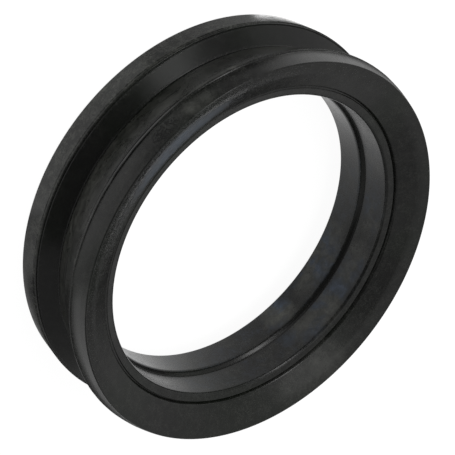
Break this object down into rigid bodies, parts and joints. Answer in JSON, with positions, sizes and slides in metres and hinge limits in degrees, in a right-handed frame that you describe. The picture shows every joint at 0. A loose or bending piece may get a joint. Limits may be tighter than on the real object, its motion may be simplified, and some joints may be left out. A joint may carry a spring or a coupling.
{
  "type": "u cup ring seal",
  "caption": "Moulded rubber U-cup ring seal with a flared front lip, a rear rim, a tapered outer groove, dished end faces and a stepped bore.",
  "frame": {"origin": "on the ring's axis, at the level of the rear foot that the ring stands on", "axes": "+Z along the ring's axis, out of the dished front face; the ring is the same all round, so +X is any radius"},
  "size_m": [0.2253, 0.2254, 0.06],
  "materials": {
    "rubber": "semi-gloss, moulded, with fine flow and scuff marks"
  },
  "bodies": {
    "root": {"seal_ring": "rubber"}
  },
  "joints": []
}
